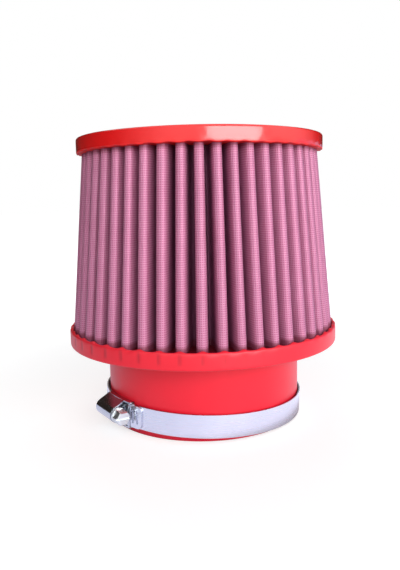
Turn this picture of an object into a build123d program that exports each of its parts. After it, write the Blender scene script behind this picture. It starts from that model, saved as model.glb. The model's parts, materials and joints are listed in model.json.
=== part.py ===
"""Conical performance air filter with a worm-drive hose clamp on its neck.

Millimetres, +Z up. The origin is the centre of the neck's open end, on which the filter stands.
A pleated sandwich of cotton gauze between two wire screens stands between two moulded ends:
a closed cap above, and below it a flange that runs on into the connecting neck.
"""
import os
from math import asin, atan2, cos, degrees, hypot, pi, radians, sin, tan

from build123d import *

os.makedirs("parts", exist_ok=True)

# Neck and flange
neck_bore = 100.0
neck_wall = 4.5
neck_length = 42.5
neck_edge_round = 0.4
flange_height = 8.7
flange_rim = 1.8
flange_edge_round = 1.0
flange_ledge = 3.4

# Cap
cap_height = 8.0
cap_rim = 2.6
cap_edge_round = 1.2

# Pleat pack
pleat_count = 48
pleat_height = 94.8
pleat_depth = 20.0
pleat_taper = 5.17
first_crest = -91.2
screen_thickness = 0.5
media_thickness = 1.0
fold_gap = 1.2
seat_depth = 1.5
seat_clearance = 0.3

# Hose clamp
band_width = 12.0
band_thickness = 0.8
clamp_slack = 1.0
clamp_shift = 0.5
clamp_tilt = 2.4
floor_clearance = 0.05
housing_bearing = -145.2
lap_gap = 0.05
fixed_end_angle = 6.0
ramp_angle = 12.0
ramp_lead = 10.0
tail_angle = 21.0
tail_corner_round = 2.5
slot_count = 26
slot_pitch = 3.0
slot_length = 7.0
slot_width = 1.4
slot_lean = 6.0

# Clamp screw and its housing
worm_radius = 3.25
worm_gap = 0.3
housing_length = 17.0
housing_sheet = 0.8
housing_tab = 0.6
housing_tab_gap = 3.0
housing_side_gap = 0.2
barrel_clearance = 0.35
strap_reach = 4.5
strap_width = 1.3
strap_thickness = 0.4
collar_radius = 4.1
collar_thickness = 1.4
collar_gap = 0.3
hex_across_flats = 7.0
hex_length = 5.6
hex_edge_chamfer = 0.5
slot_in_head_width = 1.1
slot_in_head_depth = 1.6
screw_tip_reach = 1.0
screw_tip_chamfer = 0.6

# Heights and radii that follow from the sizes above
bore_radius = neck_bore / 2
neck_radius = bore_radius + neck_wall
flange_top = neck_length + flange_height
cap_bottom = flange_top + pleat_height
cap_top = cap_bottom + cap_height
pack_bottom = flange_top - seat_depth
pack_top = cap_bottom + seat_depth
valley_radius = bore_radius + flange_ledge
crest_radius = valley_radius + pleat_depth
taper_slope = tan(radians(pleat_taper))
pack_scale = 1 - (pack_top - pack_bottom) * taper_slope / crest_radius
rim_scale = 1 - (cap_bottom - pack_bottom) * taper_slope / crest_radius
flange_seat = crest_radius + seat_clearance
flange_radius = flange_seat + flange_rim
cap_seat = crest_radius * rim_scale + seat_clearance
cap_radius = cap_seat + cap_rim

# Folds of the sandwich, measured at its middle: the valley fold takes what the crests leave of the pitch
sandwich = media_thickness + 2 * screen_thickness
half_pitch = pi / pleat_count
crest_fold = (fold_gap + sandwich) / 2
crest_centre = crest_radius - crest_fold - sandwich / 2
valley_centre = (valley_radius + sandwich / 2 - crest_fold) / (1 - half_pitch)
valley_fold = valley_centre * half_pitch - crest_fold


def polar(radius, angle):
    """Point at a radius and an angle in degrees."""
    return Vector(radius * cos(radians(angle)), radius * sin(radians(angle)))


def pleat_outline(outset):
    """Corners of the closed pleat line at the foot of the pack, outset from the sandwich's middle.

    A pleat is a crest circle and a valley circle with a common tangent for a flank. Each fold is drawn
    as flats that touch its circle, so sheets with different outsets lie face to face.
    """
    across = valley_centre * sin(half_pitch)
    inward = crest_centre - valley_centre * cos(half_pitch)
    lean = atan2(across, inward) - asin((crest_fold + valley_fold) / hypot(across, inward))
    crest_turn = 90 - degrees(lean)
    valley_turn = crest_turn - degrees(half_pitch)
    crest_corner = (crest_fold + outset) / cos(radians(crest_turn / 4))
    valley_corner = (valley_fold - outset) / cos(radians(valley_turn / 2))
    corners = []
    for pleat in range(pleat_count):
        crest = first_crest + pleat * degrees(2 * half_pitch)
        valley = crest + degrees(half_pitch)
        for share in (-3 / 4, -1 / 4, 1 / 4, 3 / 4):
            corners.append(polar(crest_centre, crest) + polar(crest_corner, crest + share * crest_turn))
        for share in (1 / 2, -1 / 2):
            turn = valley + 180 + share * valley_turn
            corners.append(polar(valley_centre, valley) + polar(valley_corner, turn))
    return corners


def pleated_sheet(outer_face, inner_face):
    """One sheet of the sandwich between two outsets.

    The line at the cap is the line at the flange drawn smaller about the axis, so each flat of the
    tapering sheet is a plane with four corners.
    """
    flats = []
    ends = []
    for outset in (outer_face, inner_face):
        foot = [corner + Vector(0, 0, pack_bottom) for corner in pleat_outline(outset)]
        head = [corner * pack_scale + Vector(0, 0, pack_top) for corner in pleat_outline(outset)]
        for left, right in zip(range(-1, len(foot) - 1), range(len(foot))):
            flats.append(Face(Wire.make_polygon([foot[left], foot[right], head[right], head[left]])))
    for height, scale in ((pack_bottom, 1.0), (pack_top, pack_scale)):
        with BuildSketch(Plane.XY.offset(height)) as end:
            for outset, mode in ((outer_face, Mode.ADD), (inner_face, Mode.SUBTRACT)):
                with BuildLine():
                    Polyline(*[corner * scale for corner in pleat_outline(outset)], close=True)
                make_face(mode=mode)
        ends.append(end.sketch.face())
    return Solid(Shell(flats + ends))


# Pleat pack: wire screen, cotton gauze, wire screen
outer_screen = pleated_sheet(sandwich / 2, media_thickness / 2)
cotton_media = pleated_sheet(media_thickness / 2, -media_thickness / 2)
inner_screen = pleated_sheet(-media_thickness / 2, -sandwich / 2)

# Base: neck and flange moulded as one, with a shallow seat in which the pleats stand
with BuildPart() as base_neck:
    with BuildSketch(Plane.XZ) as profile:
        with BuildLine():
            Polyline(
                (bore_radius, 0),
                (neck_radius, 0),
                (neck_radius, neck_length),
                (flange_radius, neck_length),
                (flange_radius, flange_top),
                (flange_seat, flange_top),
                (flange_seat, pack_bottom),
                (valley_radius - seat_clearance, pack_bottom),
                (valley_radius - seat_clearance, flange_top),
                (bore_radius, flange_top),
                close=True,
            )
        make_face()
        fillet(profile.vertices().sort_by_distance((neck_radius, 0))[0], neck_edge_round)
        for height in (neck_length, flange_top):
            fillet(profile.vertices().sort_by_distance((flange_radius, height))[0], flange_edge_round)
    revolve(axis=Axis.Z)

# Cap: a closed disc with the same kind of seat on its underside
with BuildPart() as top_cap:
    with BuildSketch(Plane.XZ) as profile:
        with BuildLine():
            Polyline(
                (0, cap_bottom),
                (valley_radius * pack_scale - seat_clearance, cap_bottom),
                (valley_radius * pack_scale - seat_clearance, pack_top),
                (cap_seat, pack_top),
                (cap_seat, cap_bottom),
                (cap_radius, cap_bottom),
                (cap_radius, cap_top),
                (0, cap_top),
                close=True,
            )
        make_face()
        fillet(profile.vertices().sort_by_distance((cap_radius, cap_top))[0], cap_edge_round)
    revolve(axis=Axis.Z)

# Clamp plane: Z is the axis of the band's loop, X points to the housing and Y along the screw to its head.
# The loose loop leans over until its low side almost meets the surface that the neck stands on.
loop_radius = neck_radius + clamp_slack
lap_step = band_thickness + lap_gap
band_outside = loop_radius + band_thickness + lap_step
tilt = radians(clamp_tilt)
low_side = (loop_radius + band_thickness) * sin(tilt) + band_width / 2 * cos(tilt)
clamp_axis = Vector(sin(tilt), 0, cos(tilt))
to_housing = polar(1, housing_bearing)
clamp_plane = Plane(
    origin=(-clamp_shift, 0, floor_clearance + low_side),
    x_dir=to_housing - clamp_axis * to_housing.dot(clamp_axis),
    z_dir=clamp_axis,
)
screw_centre = band_outside + worm_gap + worm_radius
screw_plane = Plane(
    origin=clamp_plane.from_local_coords(Vector(screw_centre, 0, 0)),
    x_dir=clamp_plane.x_dir,
    z_dir=clamp_plane.y_dir,
)

# Band: one strip that starts under the screw, goes once round, and comes back over its own start as a tail
ramp_end = 360 - ramp_lead
ramp_start = ramp_end - ramp_angle
first_lap = ramp_start + fixed_end_angle
second_lap = ramp_lead + tail_angle
with BuildPart() as clamp_band:
    with BuildSketch(clamp_plane):
        with BuildLine():
            for radius in (loop_radius, loop_radius + band_thickness):
                CenterArc((0, 0), radius, -fixed_end_angle, first_lap)
                CenterArc((0, 0), radius + lap_step, ramp_end, second_lap)
                Line(polar(radius, ramp_start), polar(radius + lap_step, ramp_end))
            for angle, radius in ((-fixed_end_angle, loop_radius), (tail_angle, loop_radius + lap_step)):
                Line(polar(radius, angle), polar(radius + band_thickness, angle))
        make_face()
    extrude(amount=band_width / 2, both=True)
    tail_end = polar(band_outside - band_thickness / 2, tail_angle)
    corners = [Vector(tail_end.X, tail_end.Y, side * band_width / 2) for side in (1, -1)]
    for corner in [clamp_plane.from_local_coords(corner) for corner in corners]:
        fillet(clamp_band.edges().sort_by_distance(corner)[0], tail_corner_round)
    # Slots for the worm, from the tail backwards; over the first lap they stop in the gap between the laps
    slot_step = degrees(slot_pitch / band_outside)
    for slot in range(slot_count):
        angle = tail_angle - (slot + 1) * slot_step
        inside = band_outside - band_thickness - lap_gap / 2
        if angle < -fixed_end_angle:
            inside = loop_radius - band_thickness
        slot_place = polar((inside + band_outside + band_thickness) / 2, angle)
        slot_frame = clamp_plane * Location((slot_place.X, slot_place.Y, 0), (0, 0, angle))
        with Locations(slot_frame * Location((0, 0, 0), (slot_lean, 0, 0))):
            Box(band_outside + band_thickness - inside, slot_width, slot_length, mode=Mode.SUBTRACT)

# Housing: sheet bent over the worm, down past the band's edges and under the band as two tabs.
# Towards the screw's head its foot runs on past the barrel, and ends in a narrow strap over the band.
barrel_bore = worm_radius + barrel_clearance
channel_half = band_width / 2 + housing_side_gap
tab_outside = loop_radius - lap_gap
tab_inside = tab_outside - housing_tab
shoulder = band_outside + lap_gap
strap_outside = shoulder + strap_thickness
barrel_end = housing_length / 2
strap_end = barrel_end + strap_reach


def ring_sector(inside, outside, start, end):
    """Part of a ring round the loop's axis, on the housing's side, between two lengths along the screw."""
    Circle(outside)
    Circle(inside, mode=Mode.SUBTRACT)
    with Locations(((inside + outside) / 2, (start + end) / 2)):
        Rectangle(inside, end - start, mode=Mode.INTERSECT)


with BuildPart() as clamp_housing:
    with BuildSketch(clamp_plane):
        ring_sector(tab_inside, strap_outside, -barrel_end, strap_end)
    extrude(amount=channel_half + housing_sheet, both=True)
    for wall, mode in ((housing_sheet, Mode.ADD), (0, Mode.SUBTRACT)):
        with BuildSketch(screw_plane):
            Circle(barrel_bore + wall)
            with Locations(((loop_radius + shoulder) / 2 - screw_centre, 0)):
                Rectangle(shoulder - loop_radius, 2 * (channel_half + wall))
            make_hull()
        extrude(amount=barrel_end, both=True, mode=mode)
    band_way = (shoulder, -strap_end, 2 * strap_end)
    collar_way = (strap_outside + strap_thickness, barrel_end, strap_end - strap_width)
    for outside, start, end in (band_way, collar_way):
        with BuildSketch(clamp_plane):
            ring_sector(tab_outside, outside, start, end)
        extrude(amount=channel_half, both=True, mode=Mode.SUBTRACT)
    with BuildSketch(clamp_plane):
        Circle(tab_outside)
    extrude(amount=housing_tab_gap / 2, both=True, mode=Mode.SUBTRACT)

# Screw: worm, collar and slotted hexagon head on one axis
collar_start = barrel_end + collar_gap
head_start = collar_start + collar_thickness
head_end = head_start + hex_length
screw_line = Axis(screw_plane.origin, screw_plane.z_dir)
tip_end = -barrel_end - screw_tip_reach
with BuildPart() as clamp_screw:
    with BuildSketch(screw_plane.offset(tip_end)):
        Circle(worm_radius)
    extrude(amount=collar_start - tip_end)
    chamfer(clamp_screw.edges().sort_by(screw_line)[0], screw_tip_chamfer)
    with BuildSketch(screw_plane.offset(collar_start)):
        Circle(collar_radius)
    extrude(amount=collar_thickness)
    with BuildSketch(screw_plane.offset(head_start)):
        RegularPolygon(hex_across_flats / 2, 6, major_radius=False)
    extrude(amount=hex_length)
    chamfer(clamp_screw.faces().sort_by(screw_line)[-1].edges(), hex_edge_chamfer)
    with BuildSketch(screw_plane.offset(head_end)):
        Rectangle(2 * hex_across_flats, slot_in_head_width)
    extrude(amount=-slot_in_head_depth, mode=Mode.SUBTRACT)

# One file for each piece
pieces = {
    "top_cap": top_cap.part,
    "outer_screen": outer_screen,
    "cotton_media": cotton_media,
    "inner_screen": inner_screen,
    "base_neck": base_neck.part,
    "clamp_band": clamp_band.part,
    "clamp_housing": clamp_housing.part,
    "clamp_screw": clamp_screw.part,
}
for name, piece in pieces.items():
    piece.label = name
    export_step(piece, f"parts/{name}.step")
    print(name, round(piece.volume), "mm3")
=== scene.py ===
# %% [markdown]
# # A cone air filter with its hose clamp
# The real filter is a pleated sandwich of cotton gauze between two wire screens, held by two moulded ends
# of red polyurethane, with a steel worm-drive clamp round the neck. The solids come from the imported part,
# and this script gives them their looks. Where a solid has the right shape already, it only gets a finish.
# Where the real surface is softer or finer, such as the woven pleats, a new surface takes its place.

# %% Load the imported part
import json

import bmesh
import bpy
import numpy as np
from mathutils import Matrix, Vector


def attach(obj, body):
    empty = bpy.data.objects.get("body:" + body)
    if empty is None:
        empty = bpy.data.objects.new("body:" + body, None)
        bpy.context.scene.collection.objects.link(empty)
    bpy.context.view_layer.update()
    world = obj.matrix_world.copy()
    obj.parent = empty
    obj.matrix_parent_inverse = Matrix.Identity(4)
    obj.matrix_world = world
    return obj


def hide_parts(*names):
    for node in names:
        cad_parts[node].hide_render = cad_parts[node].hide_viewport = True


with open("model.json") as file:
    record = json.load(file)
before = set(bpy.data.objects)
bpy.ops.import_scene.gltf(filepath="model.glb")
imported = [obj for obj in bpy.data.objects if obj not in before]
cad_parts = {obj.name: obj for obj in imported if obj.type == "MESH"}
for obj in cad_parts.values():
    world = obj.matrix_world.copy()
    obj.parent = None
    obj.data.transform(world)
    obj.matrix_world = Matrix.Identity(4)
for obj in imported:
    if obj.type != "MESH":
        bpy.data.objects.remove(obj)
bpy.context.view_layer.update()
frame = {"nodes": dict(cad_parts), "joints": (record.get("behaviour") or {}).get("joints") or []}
print("loaded", sorted(frame["nodes"]))

# %% [markdown]
# ## Sizes
# The part's own sizes are repeated here in millimetres, because every new surface has to sit where its
# solid is. They are the driving values of the part. The rest is worked out from them the same way.

# %% Sizes of the part
MM = 0.001

neck_bore = 100.0
neck_wall = 4.5
neck_length = 42.5
flange_height = 8.7
flange_rim = 1.8
flange_ledge = 3.4
cap_height = 8.0
cap_rim = 2.6
pleat_count = 48
pleat_height = 94.8
pleat_depth = 20.0
pleat_taper = 5.17
first_crest = -91.2
screen_thickness = 0.5
media_thickness = 1.0
fold_gap = 1.2
seat_depth = 1.5
seat_clearance = 0.3

bore_radius = neck_bore / 2
neck_radius = bore_radius + neck_wall
flange_top = neck_length + flange_height
cap_bottom = flange_top + pleat_height
cap_top = cap_bottom + cap_height
pack_bottom = flange_top - seat_depth
pack_top = cap_bottom + seat_depth
valley_radius = bore_radius + flange_ledge
crest_radius = valley_radius + pleat_depth
pack_slope = np.tan(np.radians(pleat_taper)) / crest_radius
flange_radius = crest_radius + seat_clearance + flange_rim
cap_radius = crest_radius * (1 - (cap_bottom - pack_bottom) * pack_slope) + seat_clearance + cap_rim
print("flange radius", round(flange_radius, 2), "cap radius", round(cap_radius, 2), "height", cap_top)

# %% [markdown]
# ## From a grid of points to a piece
# Every new surface here is a grid: its rows follow one parameter and its columns another. One function
# turns such a grid into a mesh, so the shapes themselves stay pure arithmetic on whole arrays. A grid can
# close on itself in either direction, which makes a ring, a tube or a closed sheet without any seam.

# %% A grid becomes a mesh
same_place = 1e-7


def grid_piece(name, points, body, across, along, close_rows=False, painted_shade=None):
    """Makes a piece from points[row, column], given in millimetres, with its columns closed into a ring.

    Each cell is a face whose corners run along the row first and then up the column, so that a grid whose
    columns go anticlockwise and whose rows go up faces outwards. across and along are the UV map's two
    coordinates, one for each column and each row line, with one more value where the grid closes. The last
    argument is a number from 0 to 1 at each point, for shade that the piece's finish paints. Points that
    coincide are joined.
    """
    rows, columns = points.shape[:2]
    low_row, left = np.meshgrid(np.arange(rows - 1 + close_rows), np.arange(columns), indexing="ij")
    high_row = (low_row + 1) % rows
    right = (left + 1) % columns
    low = low_row * columns
    high = high_row * columns
    corners = np.stack([low + left, low + right, high + right, high + left], axis=-1)
    mesh = bpy.data.meshes.new(name)
    mesh.from_pydata(points.reshape(-1, 3) * MM, [], corners.reshape(-1, 4))
    u = np.stack([across[left], across[left + 1], across[left + 1], across[left]], axis=-1)
    v = np.stack([along[low_row], along[low_row], along[low_row + 1], along[low_row + 1]], axis=-1)
    uv_map = mesh.uv_layers.new(name="Surface")
    uv_map.data.foreach_set("uv", np.stack([u, v], axis=-1).astype(np.float32).ravel())
    if painted_shade is not None:
        mark = mesh.attributes.new("painted_shade", "FLOAT", "POINT")
        mark.data.foreach_set("value", painted_shade.astype(np.float32).ravel())
    edit = bmesh.new()
    edit.from_mesh(mesh)
    bmesh.ops.remove_doubles(edit, verts=edit.verts, dist=same_place)
    edit.to_mesh(mesh)
    edit.free()
    mesh.shade_smooth()
    piece = bpy.data.objects.new(name, mesh)
    bpy.context.scene.collection.objects.link(piece)
    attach(piece, body)
    print(name, rows, "x", columns, "grid")
    return piece


# %% [markdown]
# ## The pleats
# The sandwich is folded 48 times and stood in a ring. Seen from above, one pleat is a small circle at its
# crest, a slightly larger one in its valley, and straight flanks that touch both. Complex numbers suit
# this: a point of the plane is one number, and turning it round the axis is one multiplication.

# %% One pleat as a line
sandwich = media_thickness + 2 * screen_thickness
half_pitch = np.pi / pleat_count
crest_fold = (fold_gap + sandwich) / 2
crest_centre = crest_radius - crest_fold - sandwich / 2
valley_centre = (valley_radius + sandwich / 2 - crest_fold) / (1 - half_pitch)
valley_fold = valley_centre * half_pitch - crest_fold
crest_points = 7
valley_points = 4


def pleat_line(outset):
    """One pleat as points of the complex plane, its crest on the real axis.

    An arc round the crest's centre is followed by an arc round the valley's centre that bends the other
    way. Both end where their common tangent, the flank, touches them. A positive outset widens the crest's
    circle and narrows the valley's, which moves the sheet outwards by that much everywhere.
    """
    across = valley_centre * np.sin(half_pitch)
    inward = crest_centre - valley_centre * np.cos(half_pitch)
    flank = np.arctan2(across, inward) - np.arcsin((crest_fold + valley_fold) / np.hypot(across, inward))
    crest_turn = np.pi / 2 - flank
    valley_turn = crest_turn - half_pitch
    crest = np.linspace(-crest_turn, crest_turn, crest_points)
    valley = half_pitch + np.pi + np.linspace(valley_turn, -valley_turn, valley_points)
    crest_arc = crest_centre + (crest_fold + outset) * np.exp(1j * crest)
    valley_arc = valley_centre * np.exp(1j * half_pitch) + (valley_fold - outset) * np.exp(1j * valley)
    return np.concatenate([crest_arc, valley_arc], axis=-1)


print("columns round the pack", pleat_count * (crest_points + valley_points))

# %% [markdown]
# ## Three sheets
# Folded by a machine, the pleats are even, but never perfect: each leans a little and wanders on its way
# up. A few slow waves round the ring give that. All three sheets share the waves, so they stay face to face.
# The wires that lie across the pleats are real ridges in the two screens, one pair of rows for each wire.

# %% Make the sheets
wire_pitch = 1.08
wire_height = 0.16
pleat_waves = (
    (1, 0.008, 1.45, 0.0),
    (3, 0.016, -0.15, 0.0),
    (8, 0.005, 0.27, 1.5),
    (17, 0.002, 2.10, -1.5),
)


def pleat_shift(bearing, rise):
    """How far the pleats at a bearing have wandered round the ring, in radians.

    A sum of waves, each with its number per turn, its size, its phase, and how far it drifts on the way up.
    """
    shift = 0.0
    for count, size, phase, drift in pleat_waves:
        shift = shift + size * np.sin(count * bearing + phase + drift * rise)
    return shift


def pleated_sheet(outset, height):
    """A closed ring of pleats through rows of given outset and height.

    The pleat line is copied round the axis, drawn smaller towards the cap in proportion to the height, and
    turned by the pleats' own shift.
    """
    turns = np.radians(first_crest) + 2 * half_pitch * np.arange(pleat_count)
    line = pleat_line(outset[:, None])
    ring = (line[:, None, :] * np.exp(1j * turns)[None, :, None]).reshape(len(height), -1)
    bearing = np.angle(ring)
    rise = ((height - pack_bottom) / (pack_top - pack_bottom))[:, None]
    narrowing = (1 - (height - pack_bottom) * pack_slope)[:, None]
    ring = ring * narrowing * np.exp(1j * pleat_shift(bearing, rise))
    return np.stack([ring.real, ring.imag, np.broadcast_to(height[:, None], ring.shape)], axis=-1)


def face(outset, rows, sunk):
    """One face of a sheet: its outset on each row, less a little on every second row, between two wires."""
    return outset - sunk * (1 - np.arange(rows) % 2)


def sheet_piece(name, outer, inner):
    """A sheet closed from its outer face over its upper edge down its inner face.

    outer and inner each give a face's outset, its number of rows, and by how much its outset is less
    between the wires.
    """
    outset = np.concatenate([face(*outer), face(*inner)])
    up = np.linspace(pack_bottom, pack_top, outer[1])
    down = np.linspace(pack_top, pack_bottom, inner[1])
    height = np.concatenate([up, down])
    points = pleated_sheet(outset, height)
    step = np.linalg.norm(np.diff(points[0], axis=0, append=points[0][:1]), axis=-1)
    across = np.concatenate([[0.0], np.cumsum(step)])
    along = np.concatenate([height, height[:1]])
    return grid_piece(name, points, "filter", across, along, close_rows=True)


wire_rows = 2 * int((pack_top - pack_bottom) / wire_pitch) + 1
plain_rows = 7
outer_screen = sheet_piece(
    "outer_screen_weave",
    (sandwich / 2, wire_rows, wire_height),
    (media_thickness / 2, plain_rows, 0.0),
)
gauze = sheet_piece(
    "cotton_gauze",
    (media_thickness / 2, plain_rows, 0.0),
    (-media_thickness / 2, plain_rows, 0.0),
)
inner_screen = sheet_piece(
    "inner_screen_weave",
    (-media_thickness / 2, plain_rows, 0.0),
    (-sandwich / 2, wire_rows, -wire_height),
)
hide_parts("outer_screen")
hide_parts("cotton_media")
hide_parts("inner_screen")

# %% [markdown]
# ## The moulded ends
# Cap and base are cast round the pleats in open moulds, so they are turned shapes with soft edges. Each is
# a profile of radius and height carried round the axis. The corners are rounded first, with a parabola
# between the two sides, and then waves are added where the casting met the pleats.

# %% Round a profile and turn it
columns_per_pleat = 10
turned_columns = columns_per_pleat * pleat_count
corner_steps = 6


def rounded_profile(corners):
    """Replaces each corner (radius, height, round) by a parabola that touches both of its sides."""
    corners = np.array(corners)
    place = corners[:, :2]
    reach = corners[:, 2:]
    before = np.roll(place, 1, axis=0) - place
    after = np.roll(place, -1, axis=0) - place
    start = place + before / np.linalg.norm(before, axis=1, keepdims=True) * reach
    end = place + after / np.linalg.norm(after, axis=1, keepdims=True) * reach
    s = np.linspace(0, 1, corner_steps)[None, :, None]
    arcs = (1 - s) ** 2 * start[:, None] + 2 * s * (1 - s) * place[:, None] + s**2 * end[:, None]
    return arcs.reshape(-1, 2)


def turned(radius, height, angle):
    """Points at radius[row, column] and height[row, column], each column at its own angle."""
    return np.stack([radius * np.cos(angle), radius * np.sin(angle), height], axis=-1)


angle = 2 * np.pi * np.arange(turned_columns) / turned_columns + np.radians(first_crest)


def on_crest(rise):
    """1 at each crest and 0 in each valley, as a cosine, for the foot of the pleats or their top."""
    turn = angle - pleat_shift(angle, rise) - np.radians(first_crest)
    return (0.5 + 0.5 * np.cos(pleat_count * turn))[None, :]


slow_wave = (np.sin(3 * angle + 0.4) + 0.7 * np.sin(8 * angle + 1.9) + 0.5 * np.sin(19 * angle))[None, :]
bearing_lines = np.degrees(np.append(angle, angle[0] + 2 * np.pi) - angle[0])
print("columns of a turned piece", turned_columns)

# %% [markdown]
# ## Cap
# The cap is a closed disc, poured upside down, with a crisp upper edge. Its lower edge is less regular,
# because the resin ran a little way between the pleats before it set.

# %% Make the cap
edge_reach = 1.2
edge_rise = 0.45
edge_pull = 0.10
cap_play = 0.05
cap_corners = [
    (0.0, cap_bottom, 0.0),
    (cap_radius, cap_bottom, 0.35),
    (cap_radius, cap_bottom + cap_height / 2, 1.0),
    (cap_radius, cap_top, 1.3),
    (0.0, cap_top, 0.0),
]
cap_line = rounded_profile(cap_corners)
cap_r = cap_line[:, :1] + 0 * slow_wave
cap_z = cap_line[:, 1:] + 0 * slow_wave
low_edge = np.exp(-(((cap_z - cap_bottom) / edge_reach) ** 2)) * (cap_r > cap_radius - 2)
between = 1 - on_crest(1.0)
cap_r = cap_r - edge_pull * low_edge * between - cap_play * (cap_r > 1) * (1 + 0.5 * slow_wave)
cap_z = cap_z + low_edge * (0.1 + 0.1 * slow_wave + edge_rise * between)
cap_length = np.linalg.norm(np.diff(cap_line, axis=0), axis=1)
cap = grid_piece(
    "top_cap_moulded",
    turned(cap_r, cap_z, angle),
    "filter",
    bearing_lines,
    np.concatenate([[0.0], np.cumsum(cap_length)]),
)
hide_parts("top_cap")

# %% [markdown]
# ## Base
# Neck and flange are one casting. Round the foot of the pleats the resin crept up each crest and sank
# between them, which leaves a scalloped lip. The lip is a wave on the rows near the rim, highest at the
# crests. On one side the crests also press through the flange as short dents. The finish paints shade into
# these dents and onto the ledge between the pleats.

# %% Make the base
potting = flange_top - 1.2
lip_width = 1.1
lip_height = 1.3
lip_sink = 0.35
rim_pull = 0.3
rim_reach = 1.5
dent_depth = 0.22
dent_middle = flange_top - 3.2
dent_reach = 2.7
dent_bearing = np.radians(-150)
base_corners = [
    (bore_radius, 0.0, 0.5),
    (neck_radius, 0.0, 0.5),
    (neck_radius, neck_length, 0.8),
    (flange_radius, neck_length, 1.0),
    (flange_radius, flange_top - 5.6, 0.8),
    (flange_radius, flange_top - 2.6, 0.8),
    (flange_radius, flange_top, 1.0),
    (crest_radius + 0.5, flange_top, 0.5),
    (crest_radius - 0.6, potting, 0.4),
    (valley_radius + 1.0, potting, 0.6),
    (bore_radius + 1.6, flange_top, 0.6),
    (bore_radius, flange_top, 0.8),
]
base_line = rounded_profile(base_corners)
base_r = base_line[:, :1] + 0 * slow_wave
base_z = base_line[:, 1:] + 0 * slow_wave
lip = np.exp(-(((base_r - crest_radius) / lip_width) ** 2)) * (base_z > potting - 0.5)
crest_foot = on_crest(0.0)
base_z = base_z + lip * (lip_height * crest_foot**2 - lip_sink)
rim = np.exp(-(((base_z - flange_top) / rim_reach) ** 2)) * (base_r > crest_radius + 0.4)
base_r = base_r - rim_pull * rim * (1 - crest_foot)
side = np.exp(-(((base_z - dent_middle) / dent_reach) ** 4)) * (base_r > crest_radius + 0.9)
marked_side = np.clip(np.cos(angle - dent_bearing), 0, 1)[None, :] ** 0.7
dent = side * marked_side * crest_foot**14
base_r = base_r - dent_depth * dent
# Shade painted into the dents and onto the ledge between the pleats, as a number at each point.
ledge = (base_z > potting - 1.0) * (base_r > valley_radius)
in_fold = np.clip(crest_radius + 0.7 - base_r, 0, 1) * ledge
base_length = np.linalg.norm(np.diff(base_line, axis=0, append=base_line[:1]), axis=1)
base = grid_piece(
    "base_neck_moulded",
    turned(base_r, base_z, angle),
    "filter",
    bearing_lines,
    np.concatenate([[0.0], np.cumsum(base_length)]),
    close_rows=True,
    painted_shade=np.maximum(0.5 * dent, in_fold),
)
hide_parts("base_neck")

# %% [markdown]
# ## Worm thread
# The clamp's screw is a worm: one ridge winds round it and pushes against the slots of the strip. The solid
# leaves the worm plain, so the ridge is added here. It is a small trapezium carried along a helix, and it
# shrinks to a point at both ends, where a real thread runs out.

# %% Make the thread
worm_joint = frame["joints"][0]
worm_place = np.array(worm_joint["pos_m"]) / MM
worm_axis = np.array(worm_joint["axis"])
worm_radius = 3.25
thread_pitch = 3.0
thread_reach = 7.8
thread_run_out = 1.5
thread_height = 0.2
thread_root = 0.15
thread_side = 0.4
thread_rows = 241


def round_worm(radius, along, turn):
    """Points at a radius and an angle round the worm's axis, and a distance along it."""
    first = np.cross(worm_axis, (0.0, 0.0, 1.0))
    first = first / np.linalg.norm(first)
    second = np.cross(worm_axis, first)
    spoke = np.cos(turn)[..., None] * first + np.sin(turn)[..., None] * second
    return worm_place + radius[..., None] * spoke + along[..., None] * worm_axis


run = np.linspace(-thread_reach, thread_reach, thread_rows)
fade = np.clip((thread_reach - np.abs(run)) / thread_run_out, 0, 1)[:, None]
ridge = np.array([0.0, thread_root + thread_height, thread_root + thread_height, 0.0])
flank = np.array([0.7, 0.4, -0.4, -0.7])
thread = grid_piece(
    "worm_thread",
    round_worm(
        worm_radius - thread_root + ridge * fade,
        run[:, None] + flank * fade,
        2 * np.pi / thread_pitch * run[:, None] + 0 * flank,
    ),
    "worm_screw",
    np.arange(len(flank) + 1) * thread_side,
    run,
)

# %% [markdown]
# ## Materials as arithmetic
# A material is a network of nodes. Written as arithmetic it stays readable: one small class wraps a
# socket, and adding or multiplying two of them adds the Math node that does it. Every other node comes
# from one method.

# %% A socket with arithmetic


class Signal:
    """One output socket of a material. Arithmetic on signals adds the Math nodes for it."""

    def __init__(self, tree, socket=None):
        self.tree = tree
        self.socket = socket

    def node(self, kind, settings=None, sockets=None, output=0):
        """Adds a node of any type: its settings first, then a value or a link for each of its sockets."""
        made = self.tree.nodes.new(kind)
        for key, value in (settings or {}).items():
            setattr(made, key, value)
        for key, value in (sockets or {}).items():
            if isinstance(value, Signal):
                self.tree.links.new(value.socket, made.inputs[key])
            else:
                made.inputs[key].default_value = value
        return Signal(self.tree, made.outputs[output] if made.outputs else None)

    def maths(self, operation, *values):
        """A Math node on this signal and other values."""
        return self.node("ShaderNodeMath", {"operation": operation}, dict(enumerate((self, *values))))

    def __add__(self, other):
        return self.maths("ADD", other)

    __radd__ = __add__

    def __mul__(self, other):
        return self.maths("MULTIPLY", other)

    __rmul__ = __mul__

    def __sub__(self, other):
        return self.maths("SUBTRACT", other)

    def __rsub__(self, other):
        return (self * -1) + other

    def __truediv__(self, other):
        return self.maths("DIVIDE", other)

    def step(self, low, high):
        """A smooth step from 0 at low to 1 at high."""
        sockets = {"Value": self, "From Min": low, "From Max": high}
        return self.node("ShaderNodeMapRange", {"interpolation_type": "SMOOTHSTEP"}, sockets)

    def mix(self, first, second):
        """A colour between two colours, by this signal."""
        return self.node("ShaderNodeMix", {"data_type": "RGBA"}, {0: self, 6: first, 7: second}, output=2)

    def noise(self, scale, detail=2.0):
        """Noise at a place given by this signal."""
        return self.node("ShaderNodeTexNoise", None, {"Vector": self, "Scale": scale, "Detail": detail})

    def part(self, axis):
        """One coordinate of a place: 0, 1 or 2."""
        return self.node("ShaderNodeSeparateXYZ", None, {0: self}, output=axis)


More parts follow.
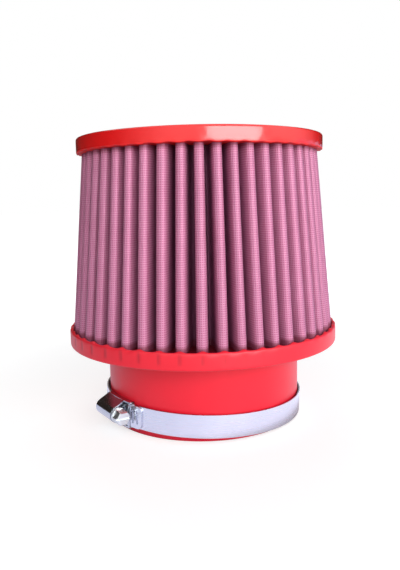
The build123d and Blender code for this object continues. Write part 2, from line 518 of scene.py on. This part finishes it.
def new_finish(name):
    """An empty material, and a signal from which its nodes are added."""
    material = bpy.data.materials.new(name)
    material.use_nodes = True
    material.node_tree.nodes.clear()
    return material, Signal(material.node_tree)


def close_finish(root, sockets):
    """Ends a material with a Principled shader that takes these sockets."""
    shader = root.node("ShaderNodeBsdfPrincipled", None, sockets)
    root.node("ShaderNodeOutputMaterial", None, {"Surface": shader})


def place_of(root):
    """The place on the piece, in metres of the shared frame."""
    return root.node("ShaderNodeTexCoord", None, None, output=3)


def from_axis(place, shift=0.0):
    """How far, in millimetres, a place is from an upright axis that stands shift left of the origin."""
    sideways = place.part(0) / MM + shift
    forwards = place.part(1) / MM
    return (sideways * sideways + forwards * forwards).maths("SQRT")


def bumped(root, height, distance, strength=1.0):
    """A normal that follows a height signal."""
    return root.node("ShaderNodeBump", None, {"Height": height, "Distance": distance, "Strength": strength})


def surface_map(root):
    """The piece's own UV map, in millimetres or degrees as its grid gave them."""
    return root.node("ShaderNodeUVMap", {"uv_map": "Surface"})


print("materials are ready to be written")

# %% [markdown]
# ## Red polyurethane
# Both ends are the same cast resin. The cap came out of a polished mould and is glossy, so it gets a
# second, clear layer of shine, except on its rough lower edge. The base came out satin. A faint wave in the
# surface and a slow drift of the red keep both from looking painted.

# %% Cap finish
cap_finish, root = new_finish("cap gloss red")
place = place_of(root)
drift = place.noise(40.0)
red = drift.mix((0.80, 0.006, 0.007, 1.0), (0.90, 0.010, 0.011, 1.0))
ripple = place.noise(180.0)
polished = place.part(2).step((cap_bottom + 0.4) * MM, (cap_bottom + 1.2) * MM)
close_finish(
    root,
    {
        "Base Color": red,
        "Roughness": 0.56 - 0.4 * polished + 0.08 * drift,
        "Coat Weight": 0.7 * polished,
        "Coat Roughness": 0.06,
        "Normal": bumped(root, ripple, 0.00012),
    },
)
cap.data.materials.append(cap_finish)
print("finish of the cap")

# %% Base finish
base_finish, root = new_finish("base satin red")
place = place_of(root)
drift = place.noise(35.0)
red = drift.mix((0.80, 0.010, 0.028, 1.0), (0.90, 0.015, 0.038, 1.0))
# Painted shade, in the flange's dents and on the ledge between the pleats.
shade_red = (0.14, 0.003, 0.010, 1.0)
darkened = root.node("ShaderNodeAttribute", {"attribute_name": "painted_shade"}, None, output="Fac")
red = darkened.mix(red, shade_red)
# Painted shade at the foot of the neck, below the clamp: darker towards the bottom edge.
shaded_foot_red = (0.55, 0.006, 0.03, 1.0)
foot_shade_height = 3.5
red = place.part(2).step(0.0, foot_shade_height * MM).mix(shaded_foot_red, red)
grain = place.noise(900.0)
close_finish(
    root,
    {
        "Base Color": red,
        "Roughness": 0.36 + 0.1 * drift,
        "Normal": bumped(root, grain, 0.00004),
    },
)
base.data.materials.append(base_finish)
print("finish of the base")

# %% [markdown]
# ## Wire screen and gauze
# From a step away the screen is a fine grid of bright wires with oiled pink gauze behind it. The wires
# across the pleats are ridges already. The UV map is in millimetres, so the wires that run up the pleats
# are a wave in its first coordinate. Deep in the folds the colour is darker, a painted shade. Near the
# base it is darker too, partly from resin that rose up the pleats and partly painted shade, and just under
# the cap it is darker with a painted shadow of the cap.

# %% Screen finish
screen_finish, root = new_finish("pink wire screen")
spot = surface_map(root)
place = place_of(root)
jitter = place.noise(500.0) * 1.2
per_wire = 2 * np.pi / wire_pitch
up_wire = (spot.part(0) * per_wire + jitter).maths("COSINE").step(0.45, 0.95)
cross_wire = ((spot.part(1) - pack_bottom) * per_wire + jitter).maths("COSINE").step(0.1, 0.95)
wire = up_wire.maths("MAXIMUM", cross_wire)
blotch = place.noise(60.0, 4.0)
cloth = blotch.mix((0.42, 0.095, 0.20, 1.0), (0.53, 0.14, 0.27, 1.0))
strand = blotch.mix((0.58, 0.23, 0.37, 1.0), (0.68, 0.30, 0.46, 1.0))
# Painted shade, darker the deeper a place lies in a fold.
fold_shade_colour = (0.22, 0.06, 0.13, 1.0)
# Darker ends: near the base partly resin that rose up the pleats and partly painted shade, just under the
# cap a painted shadow of the cap.
end_soak_and_shadow = (0.20, 0.02, 0.05, 1.0)
crest_here = (pack_bottom - place.part(2) / MM) * (pack_slope * crest_radius) + crest_radius
fold = (crest_here - from_axis(place)).step(1.0, 12.0)
base_soak_and_shade = place.part(2).step((flange_top + 3.0) * MM, (flange_top + 0.5) * MM)
# Painted shadow of the cap on the pleats just below it.
cap_shadow = place.part(2).step((cap_bottom - 3.0) * MM, (cap_bottom - 0.3) * MM)
soak_and_shade = base_soak_and_shade.maths("MAXIMUM", cap_shadow * 0.8)
cover = fold.mix(wire.mix(cloth, strand), fold_shade_colour)
close_finish(
    root,
    {
        "Base Color": (soak_and_shade * 0.8).mix(cover, end_soak_and_shadow),
        "Metallic": 0.35 * wire,
        "Roughness": 0.62 - 0.2 * wire,
        "Normal": bumped(root, up_wire, 0.00015),
    },
)
for screen in (outer_screen, inner_screen):
    screen.data.materials.append(screen_finish)
print("finish of the two screens")

# %% Gauze finish
gauze_finish, root = new_finish("oiled cotton gauze")
spot = surface_map(root)
per_thread = 9.0
weave = (spot.part(0) * per_thread).maths("SINE") * (spot.part(1) * per_thread).maths("SINE")
soak_and_shade = place_of(root).noise(50.0, 3.0)
close_finish(
    root,
    {
        "Base Color": soak_and_shade.mix((0.48, 0.09, 0.20, 1.0), (0.62, 0.17, 0.32, 1.0)),
        "Roughness": 0.85,
        "Normal": bumped(root, weave, 0.0001),
    },
)
gauze.data.materials.append(gauze_finish)
print("finish of the gauze")

# %% [markdown]
# ## Steel
# The clamp is bright rolled strip with a plated housing and screw. Rolling leaves fine lines along the
# strip. The loop's axis is almost upright, so noise that is squeezed along Z and stretched along the loop
# draws them. The inside of the loop is painted dark, as shade and as the dark neck reflected in it.

# %% Steel finishes
clamp_shift = 0.5
clamp_slack = 1.0
band_inside = neck_radius + clamp_slack
# Painted shade and dark reflection for the inside of the loop.
shaded_steel = (0.10, 0.07, 0.06, 1.0)


def steel(name, light, dark, roughness, line_scale, shade_within=0.0):
    """Bright steel with fine lines: noise on a place whose height counts for much more than its sides.

    Nearer the clamp's axis than the distance given last, in millimetres, the steel is painted dark as shade.
    """
    material, start = new_finish(name)
    place = place_of(start)
    squeezed = start.node("ShaderNodeMapping", None, {"Vector": place, "Scale": (20.0, 20.0, line_scale)})
    lines = squeezed.noise(1.0, 3.0)
    cloud = place.noise(70.0)
    # Inside the loop the colour is painted shade.
    bright = from_axis(place, clamp_shift).step(shade_within, shade_within + 0.4)
    close_finish(
        start,
        {
            "Base Color": bright.mix(shaded_steel, cloud.mix(dark, light)),
            "Metallic": 1.0,
            "Roughness": roughness + 0.12 * lines,
            "Normal": bumped(start, lines, 0.00002),
        },
    )
    return material


band_finish = steel(
    "rolled band steel",
    (0.74, 0.77, 0.86, 1.0),
    (0.64, 0.67, 0.77, 1.0),
    roughness=0.22,
    line_scale=2500.0,
    shade_within=band_inside + 0.2,
)
plated_finish = steel(
    "plated steel",
    (0.58, 0.61, 0.67, 1.0),
    (0.48, 0.51, 0.57, 1.0),
    roughness=0.10,
    line_scale=400.0,
)
screw_finish = steel(
    "zinc plated steel",
    (0.80, 0.85, 0.88, 1.0),
    (0.68, 0.71, 0.72, 1.0),
    roughness=0.30,
    line_scale=400.0,
)
finishes = {"clamp_band": band_finish, "clamp_housing": plated_finish, "clamp_screw": screw_finish}
for node, finish in finishes.items():
    materials = frame["nodes"][node].data.materials
    materials.clear()
    materials.append(finish)
thread.data.materials.append(screw_finish)
print("steel finishes on the clamp")

# %% [markdown]
# ## Floor and backdrop
# The photo was taken on white. The world is plain white to the camera and in reflections, and gives a
# weaker, even light to everything else. The floor takes the shadow, and lifts itself to white for the
# camera. Seen from below it is clear, so that the open neck can be looked into.

# %% Floor and world
floor_size = 6.0
floor_drop = -0.0003
# The floor's glow changes between these distances from the axis, in millimetres.
white_fade = (100.0, 500.0)
shade_fade = (56.0, 68.0)
floor_mesh = bpy.data.meshes.new("floor")
floor_corners = np.array([(-1, -1, 0), (1, -1, 0), (1, 1, 0), (-1, 1, 0)]) * floor_size
floor_mesh.from_pydata(floor_corners + (0, 0, floor_drop), [], [(0, 1, 2, 3)])
floor = bpy.data.objects.new("floor", floor_mesh)
bpy.context.scene.collection.objects.link(floor)


def ray(root, kind):
    """1 for rays of one kind, 0 for the others."""
    return root.node("ShaderNodeLightPath", None, None, output=kind)


def seen_directly(root):
    """1 for rays from the camera and for reflected or refracted ones, 0 for scattered light."""
    mirrored = ray(root, "Is Glossy Ray").maths("MAXIMUM", ray(root, "Is Transmission Ray"))
    return ray(root, "Is Camera Ray").maths("MAXIMUM", mirrored)


floor_finish, root = new_finish("white floor")
place = place_of(root)
away = from_axis(place)
white = away.step(*white_fade).mix((0.66, 0.66, 0.66, 1.0), (1.0, 1.0, 1.0, 1.0))
# In reflections the floor shows a painted shadow, dark under the object out to the clamp's edge, and painted
# light, dimmer at the left and brighter and bluish at the right.
sideways = place.part(0).step(-0.2, 0.2).mix((0.48, 0.50, 0.66, 1.0), (0.88, 0.90, 1.05, 1.0))
mirrored = away.step(*shade_fade).mix((0.10, 0.06, 0.06, 1.0), sideways)
glow = ray(root, "Is Camera Ray").mix(mirrored, white)
lift = root.node("ShaderNodeEmission", None, {"Color": glow, "Strength": seen_directly(root)})
matt = root.node("ShaderNodeBsdfDiffuse", None, {"Color": (0.5, 0.5, 0.5, 1)})
both = root.node("ShaderNodeAddShader", None, {0: lift, 1: matt})
clear = root.node("ShaderNodeBsdfTransparent")
from_below = root.node("ShaderNodeNewGeometry", None, None, output="Backfacing")
one_sided = root.node("ShaderNodeMixShader", None, {0: from_below, 1: both, 2: clear})
root.node("ShaderNodeOutputMaterial", None, {"Surface": one_sided})
floor_mesh.materials.append(floor_finish)

world = bpy.data.worlds.new("studio")
world.use_nodes = True
world.node_tree.nodes.clear()
root = Signal(world.node_tree)
fill_light = 0.22
white = root.node("ShaderNodeBackground", None, {"Color": (1, 1, 1, 1), "Strength": 1.0})
fill = root.node("ShaderNodeBackground", None, {"Color": (1, 1, 1, 1), "Strength": fill_light})
sky = root.node("ShaderNodeMixShader", None, {0: seen_directly(root), 1: fill, 2: white})
root.node("ShaderNodeOutputWorld", None, {"Surface": sky})
bpy.context.scene.world = world
print("white floor and world")

# %% [markdown]
# ## Lamps
# A large soft box stands at the right of the camera. It shows in the cap as a pale upright patch, and it
# leaves the left side darker. Weaker lamps at the left and behind keep those sides from going black, and a
# bluish window at the right touches the edges of the pleats. Cards round the object, seen in reflections
# alone, give the steel and the gloss a dark room at the left and behind, and a bright wall at the right.

# %% Softboxes and cards
middle = Vector((0.0, 0.0, 0.085))


def around_object(bearing, elevation, distance):
    """A place seen from the object: bearing in degrees to the camera's right, then height in degrees."""
    turn = np.radians(bearing)
    lift = np.radians(elevation)
    level = np.cos(lift) * distance
    return middle + Vector((np.sin(turn) * level, -np.cos(turn) * level, np.sin(lift) * distance))


def aimed(place):
    """A matrix at a place whose -Z axis points to the middle of the object."""
    return Matrix.Translation(place) @ (middle - place).to_track_quat("-Z", "Y").to_matrix().to_4x4()


def softbox(name, place, width, height, radiance, mirrored, colour=(1.0, 1.0, 1.0)):
    """A rectangular lamp. Its power is its radiance times its area times pi."""
    lamp = bpy.data.lights.new(name, "AREA")
    lamp.shape = "RECTANGLE"
    lamp.size = width
    lamp.size_y = height
    lamp.energy = radiance * width * height * np.pi
    lamp.color = colour
    holder = bpy.data.objects.new(name, lamp)
    bpy.context.scene.collection.objects.link(holder)
    holder.matrix_world = aimed(place)
    holder.visible_glossy = mirrored


softbox("key", around_object(30, 13, 0.95), 0.83, 0.44, 6.8, True)
softbox("left_fill", around_object(-20, 25, 1.1), 0.8, 0.8, 1.8, False)
softbox("back_fill", around_object(185, 35, 1.2), 0.9, 0.9, 2.0, False)
softbox("window", around_object(98, 8, 0.9), 0.30, 0.5, 2.6, False, (0.45, 0.70, 1.0))
card_distance = 0.8
card_steps = 49


def card(name, first, last, low, high, first_colour, last_colour):
    """A curved card that stands round the object between two bearings, and fades between two colours.

    A grid of bearing and height on a cylinder round the axis. Only reflections see it.
    """
    turn = np.radians(np.linspace(first, last, card_steps))[None, :]
    height = np.array([low, high])[:, None]
    reach = card_distance + 0 * height * turn
    points = np.stack([np.sin(turn) * reach, -np.cos(turn) * reach, height + 0 * turn], axis=-1)
    left = np.arange(card_steps - 1)
    above = left + card_steps
    mesh = bpy.data.meshes.new(name)
    mesh.from_pydata(points.reshape(-1, 3), [], np.stack([left, left + 1, above + 1, above], axis=-1))
    holder = bpy.data.objects.new(name, mesh)
    bpy.context.scene.collection.objects.link(holder)
    holder.visible_camera = False
    holder.visible_diffuse = False
    holder.visible_shadow = False
    material, start = new_finish(name)
    where = place_of(start)
    bearing = where.part(0).maths("ARCTAN2", where.part(1) * -1)
    shade = bearing.step(np.radians(first), np.radians(last)).mix(first_colour, last_colour)
    glow = start.node("ShaderNodeEmission", None, {"Color": shade, "Strength": 1.0})
    start.node("ShaderNodeOutputMaterial", None, {"Surface": glow})
    mesh.materials.append(material)


dark_room = (0.035, 0.025, 0.02, 1.0)
bright_wall = (1.0, 1.0, 1.0, 1.0)
near_window = (1.5, 1.5, 1.5, 1.0)
window_blue = (0.45, 0.55, 0.80, 1.0)
card_foot = 0.002
card_middle = 0.2
card_top = 0.8
card("left_card", -88, -8, card_foot, card_top, dark_room, bright_wall)
card("left_back_card", -165, -88, card_foot, card_top, dark_room, dark_room)
card("right_low_card", 90, 165, card_foot, card_middle, window_blue, window_blue)
card("right_high_card", 62, 132, card_middle, card_top, near_window, dark_room)
card("right_back_card", 132, 165, card_middle, card_top, dark_room, dark_room)
print("four lamps and five cards")

# %% [markdown]
# ## Camera
# The camera stands where the photo's lens stood, as the filter's own outlines in the photo give it: a
# third of a metre away, a little above the middle, and turned by a degree because the filter leans on its
# clamp.

# %% Camera
camera_lens = 36.87
camera_distance = 0.33405
camera_height = 0.12039
camera_down = 8.27
camera_lean = 1.15
photo_height = 570
photo_shift = -2
camera_data = bpy.data.cameras.new("camera")
camera_data.lens = camera_lens
camera_data.shift_x = photo_shift / photo_height
camera = bpy.data.objects.new("camera", camera_data)
bpy.context.scene.collection.objects.link(camera)
camera_place = Matrix.Translation((0.0, -camera_distance, camera_height))
pitch = np.radians(90 - camera_down)
roll = np.radians(-camera_lean)
camera.matrix_world = camera_place @ Matrix.Rotation(pitch, 4, "X") @ Matrix.Rotation(roll, 4, "Z")
bpy.context.scene.camera = camera
bpy.context.scene.view_settings.view_transform = "Standard"
print("camera at", tuple(round(value, 4) for value in camera.location))
